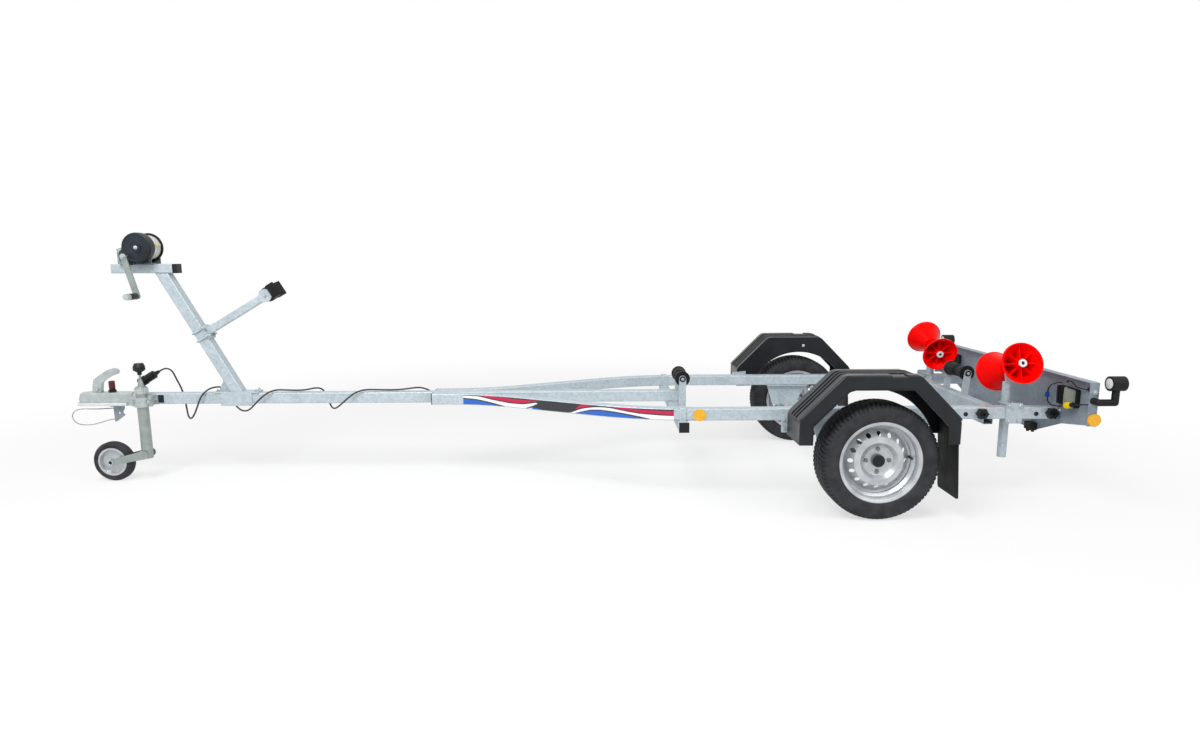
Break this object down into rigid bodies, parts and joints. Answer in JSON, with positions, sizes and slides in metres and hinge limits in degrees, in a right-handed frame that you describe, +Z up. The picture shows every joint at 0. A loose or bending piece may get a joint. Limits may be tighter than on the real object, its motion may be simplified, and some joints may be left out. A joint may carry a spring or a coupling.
{
  "type": "boat trailer",
  "caption": "Single-axle boat trailer with a bent A-frame, winch post, keel and side rollers, mudguards, jockey wheel and light board.",
  "frame": {"origin": "on the ground, on the centre line, half way along the trailer", "axes": "+X towards the tail, +Y towards the trailer's right side, +Z up"},
  "size_m": [5.3032, 1.766, 1.354],
  "materials": {
    "galvanised_steel": "hot-dip galvanised, satin grey",
    "zinc_steel": "bright zinc plated",
    "wheel_silver": "silver paint",
    "tyre_rubber": "matt",
    "black_plastic": "moulded",
    "black_rubber": "matt",
    "red_polymer": "smooth",
    "amber_lens": "prismatic",
    "lamp_lens": "lens over a black housing",
    "cast_grey": "grey"
  },
  "bodies": {
    "frame": {"axle": "galvanised_steel", "axle_brackets": "black_plastic", "axle_plates": "galvanised_steel", "bow_arm": "galvanised_steel", "bow_block": "black_rubber", "breakaway_cable": "black_rubber", "cone_posts": "galvanised_steel", "coupling_eye": "galvanised_steel", "coupling_head": "zinc_steel", "coupling_lever": "zinc_steel", "coupling_lock": "black_plastic", "drawbar": "galvanised_steel", "end_caps": "black_plastic", "front_cross_member": "galvanised_steel", "jockey_clamp": "galvanised_steel", "keel_roller_brackets": "galvanised_steel", "lead_plug": "black_plastic", "member_saddles": "galvanised_steel", "mud_flaps": "black_rubber", "mudguard_left": "black_plastic", "mudguard_right": "black_plastic", "mudguard_stays": "galvanised_steel", "rear_cross_member": "galvanised_steel", "side_rail_left": "galvanised_steel", "side_rail_right": "galvanised_steel", "side_reflectors": "amber_lens", "slide_guides": "black_plastic", "slide_knobs": "black_plastic", "winch_beam": "galvanised_steel", "winch_cover": "black_plastic", "winch_frame": "galvanised_steel", "winch_post": "galvanised_steel", "wiring_lead": "black_rubber"},
    "left_wheel": {"hub_left": "cast_grey", "rim_left": "wheel_silver", "tyre_left": "tyre_rubber"},
    "right_wheel": {"hub_right": "cast_grey", "rim_right": "wheel_silver", "tyre_right": "tyre_rubber"},
    "stand": {"jockey_stand": "zinc_steel", "jockey_knob": "black_plastic", "jockey_fork": "zinc_steel"},
    "stand_wheel": {"jockey_rim": "zinc_steel", "jockey_tyre": "black_rubber"},
    "drum": {"winch_drum": "galvanised_steel"},
    "crank": {"winch_crank": "galvanised_steel"},
    "front_roller": {"keel_roller_front": "black_rubber"},
    "rear_roller": {"keel_roller_rear": "black_rubber"},
    "left_outer_cone": {"cone_left_outer": "red_polymer"},
    "left_inner_cone": {"cone_left_inner": "red_polymer"},
    "right_outer_cone": {"cone_right_outer": "red_polymer"},
    "right_inner_cone": {"cone_right_inner": "red_polymer"},
    "board": {"light_board": "galvanised_steel", "slide_bars": "zinc_steel", "tail_lamps": "lamp_lens", "marker_lamps": "black_rubber", "rear_reflectors": "amber_lens"}
  },
  "joints": [
    {"name": "wheel_left_spin", "type": "hinge", "parent": "frame", "child": "left_wheel", "pos_m": [1.56, -0.75, 0.279], "axis": [0, 1, 0], "continuous": true},
    {"name": "wheel_right_spin", "type": "hinge", "parent": "frame", "child": "right_wheel", "pos_m": [1.56, 0.75, 0.279], "axis": [0, 1, 0], "continuous": true},
    {"name": "stand_lift", "type": "slide", "parent": "frame", "child": "stand", "axis": [0, 0, 1], "range_m": [0, 0.22]},
    {"name": "stand_wheel_spin", "type": "hinge", "parent": "stand", "child": "stand_wheel", "pos_m": [-2.421, -0.094, 0.11], "axis": [0, 1, 0], "continuous": true},
    {"name": "winch_crank_turn", "type": "hinge", "parent": "frame", "child": "crank", "pos_m": [-2.248, 0, 1.228], "axis": [0, 1, 0], "continuous": true},
    {"name": "winch_drum_turn", "type": "hinge", "parent": "frame", "child": "drum", "pos_m": [-2.192, 0, 1.275], "axis": [0, 1, 0], "continuous": true},
    {"name": "front_roller_spin", "type": "hinge", "parent": "frame", "child": "front_roller", "pos_m": [0.722, 0, 0.554], "axis": [0, 1, 0], "continuous": true},
    {"name": "rear_roller_spin", "type": "hinge", "parent": "frame", "child": "rear_roller", "pos_m": [2.289, 0, 0.577], "axis": [0, 1, 0], "continuous": true},
    {"name": "cone_left_outer_spin", "type": "hinge", "parent": "frame", "child": "left_outer_cone", "pos_m": [2.325, -0.444, 0.663], "axis": [0, -0.9511, 0.309], "continuous": true},
    {"name": "cone_left_inner_spin", "type": "hinge", "parent": "frame", "child": "left_inner_cone", "pos_m": [2.325, -0.444, 0.663], "axis": [0, -0.9511, 0.309], "continuous": true},
    {"name": "cone_right_outer_spin", "type": "hinge", "parent": "frame", "child": "right_outer_cone", "pos_m": [2.325, 0.444, 0.663], "axis": [0, 0.9511, 0.309], "continuous": true},
    {"name": "cone_right_inner_spin", "type": "hinge", "parent": "frame", "child": "right_inner_cone", "pos_m": [2.325, 0.444, 0.663], "axis": [0, 0.9511, 0.309], "continuous": true},
    {"name": "board_slide", "type": "slide", "parent": "frame", "child": "board", "axis": [1, 0, 0], "range_m": [0, 0.4]}
  ],
  "couplings": [
    {"joint": "winch_drum_turn", "follows": "winch_crank_turn", "ratio": -0.25}
  ]
}
